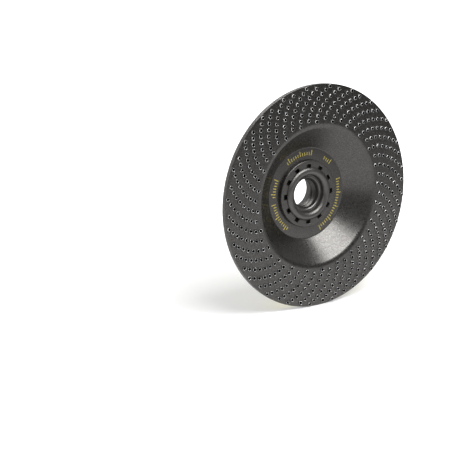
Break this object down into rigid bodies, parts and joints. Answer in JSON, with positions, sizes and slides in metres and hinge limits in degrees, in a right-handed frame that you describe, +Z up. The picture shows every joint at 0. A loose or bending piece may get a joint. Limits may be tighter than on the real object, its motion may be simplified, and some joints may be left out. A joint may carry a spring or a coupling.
{
  "type": "angle grinder carving disc",
  "caption": "Dished steel carving disc with spiral rows of pierced spikes on its rim, a backing plate, and a threaded hexagon hub crimped over a notched washer.",
  "frame": {"origin": "on the spindle axis, in the plane of the dish floor's front face", "axes": "+Y along the spindle axis towards the grinder, -Y the way the spikes face, +Z up with the disc standing on its rim"},
  "size_m": [0.115, 0.0233, 0.115],
  "materials": {
    "hub": "satin graphite powder coat on steel",
    "lock_washer": "grainy grey powder coat on steel",
    "rasp_plate": "satin graphite powder coat on steel, worn bright at the spikes' tips",
    "backing_plate": "satin graphite powder coat on steel",
    "yellow_label": "semi-gloss vinyl",
    "black_label": "gloss vinyl"
  },
  "bodies": {
    "root": {"hub": "hub", "lock_washer": "lock_washer", "rasp_plate": "rasp_plate", "backing_plate": "backing_plate", "yellow_label": "yellow_label", "black_label": "black_label"}
  },
  "joints": []
}
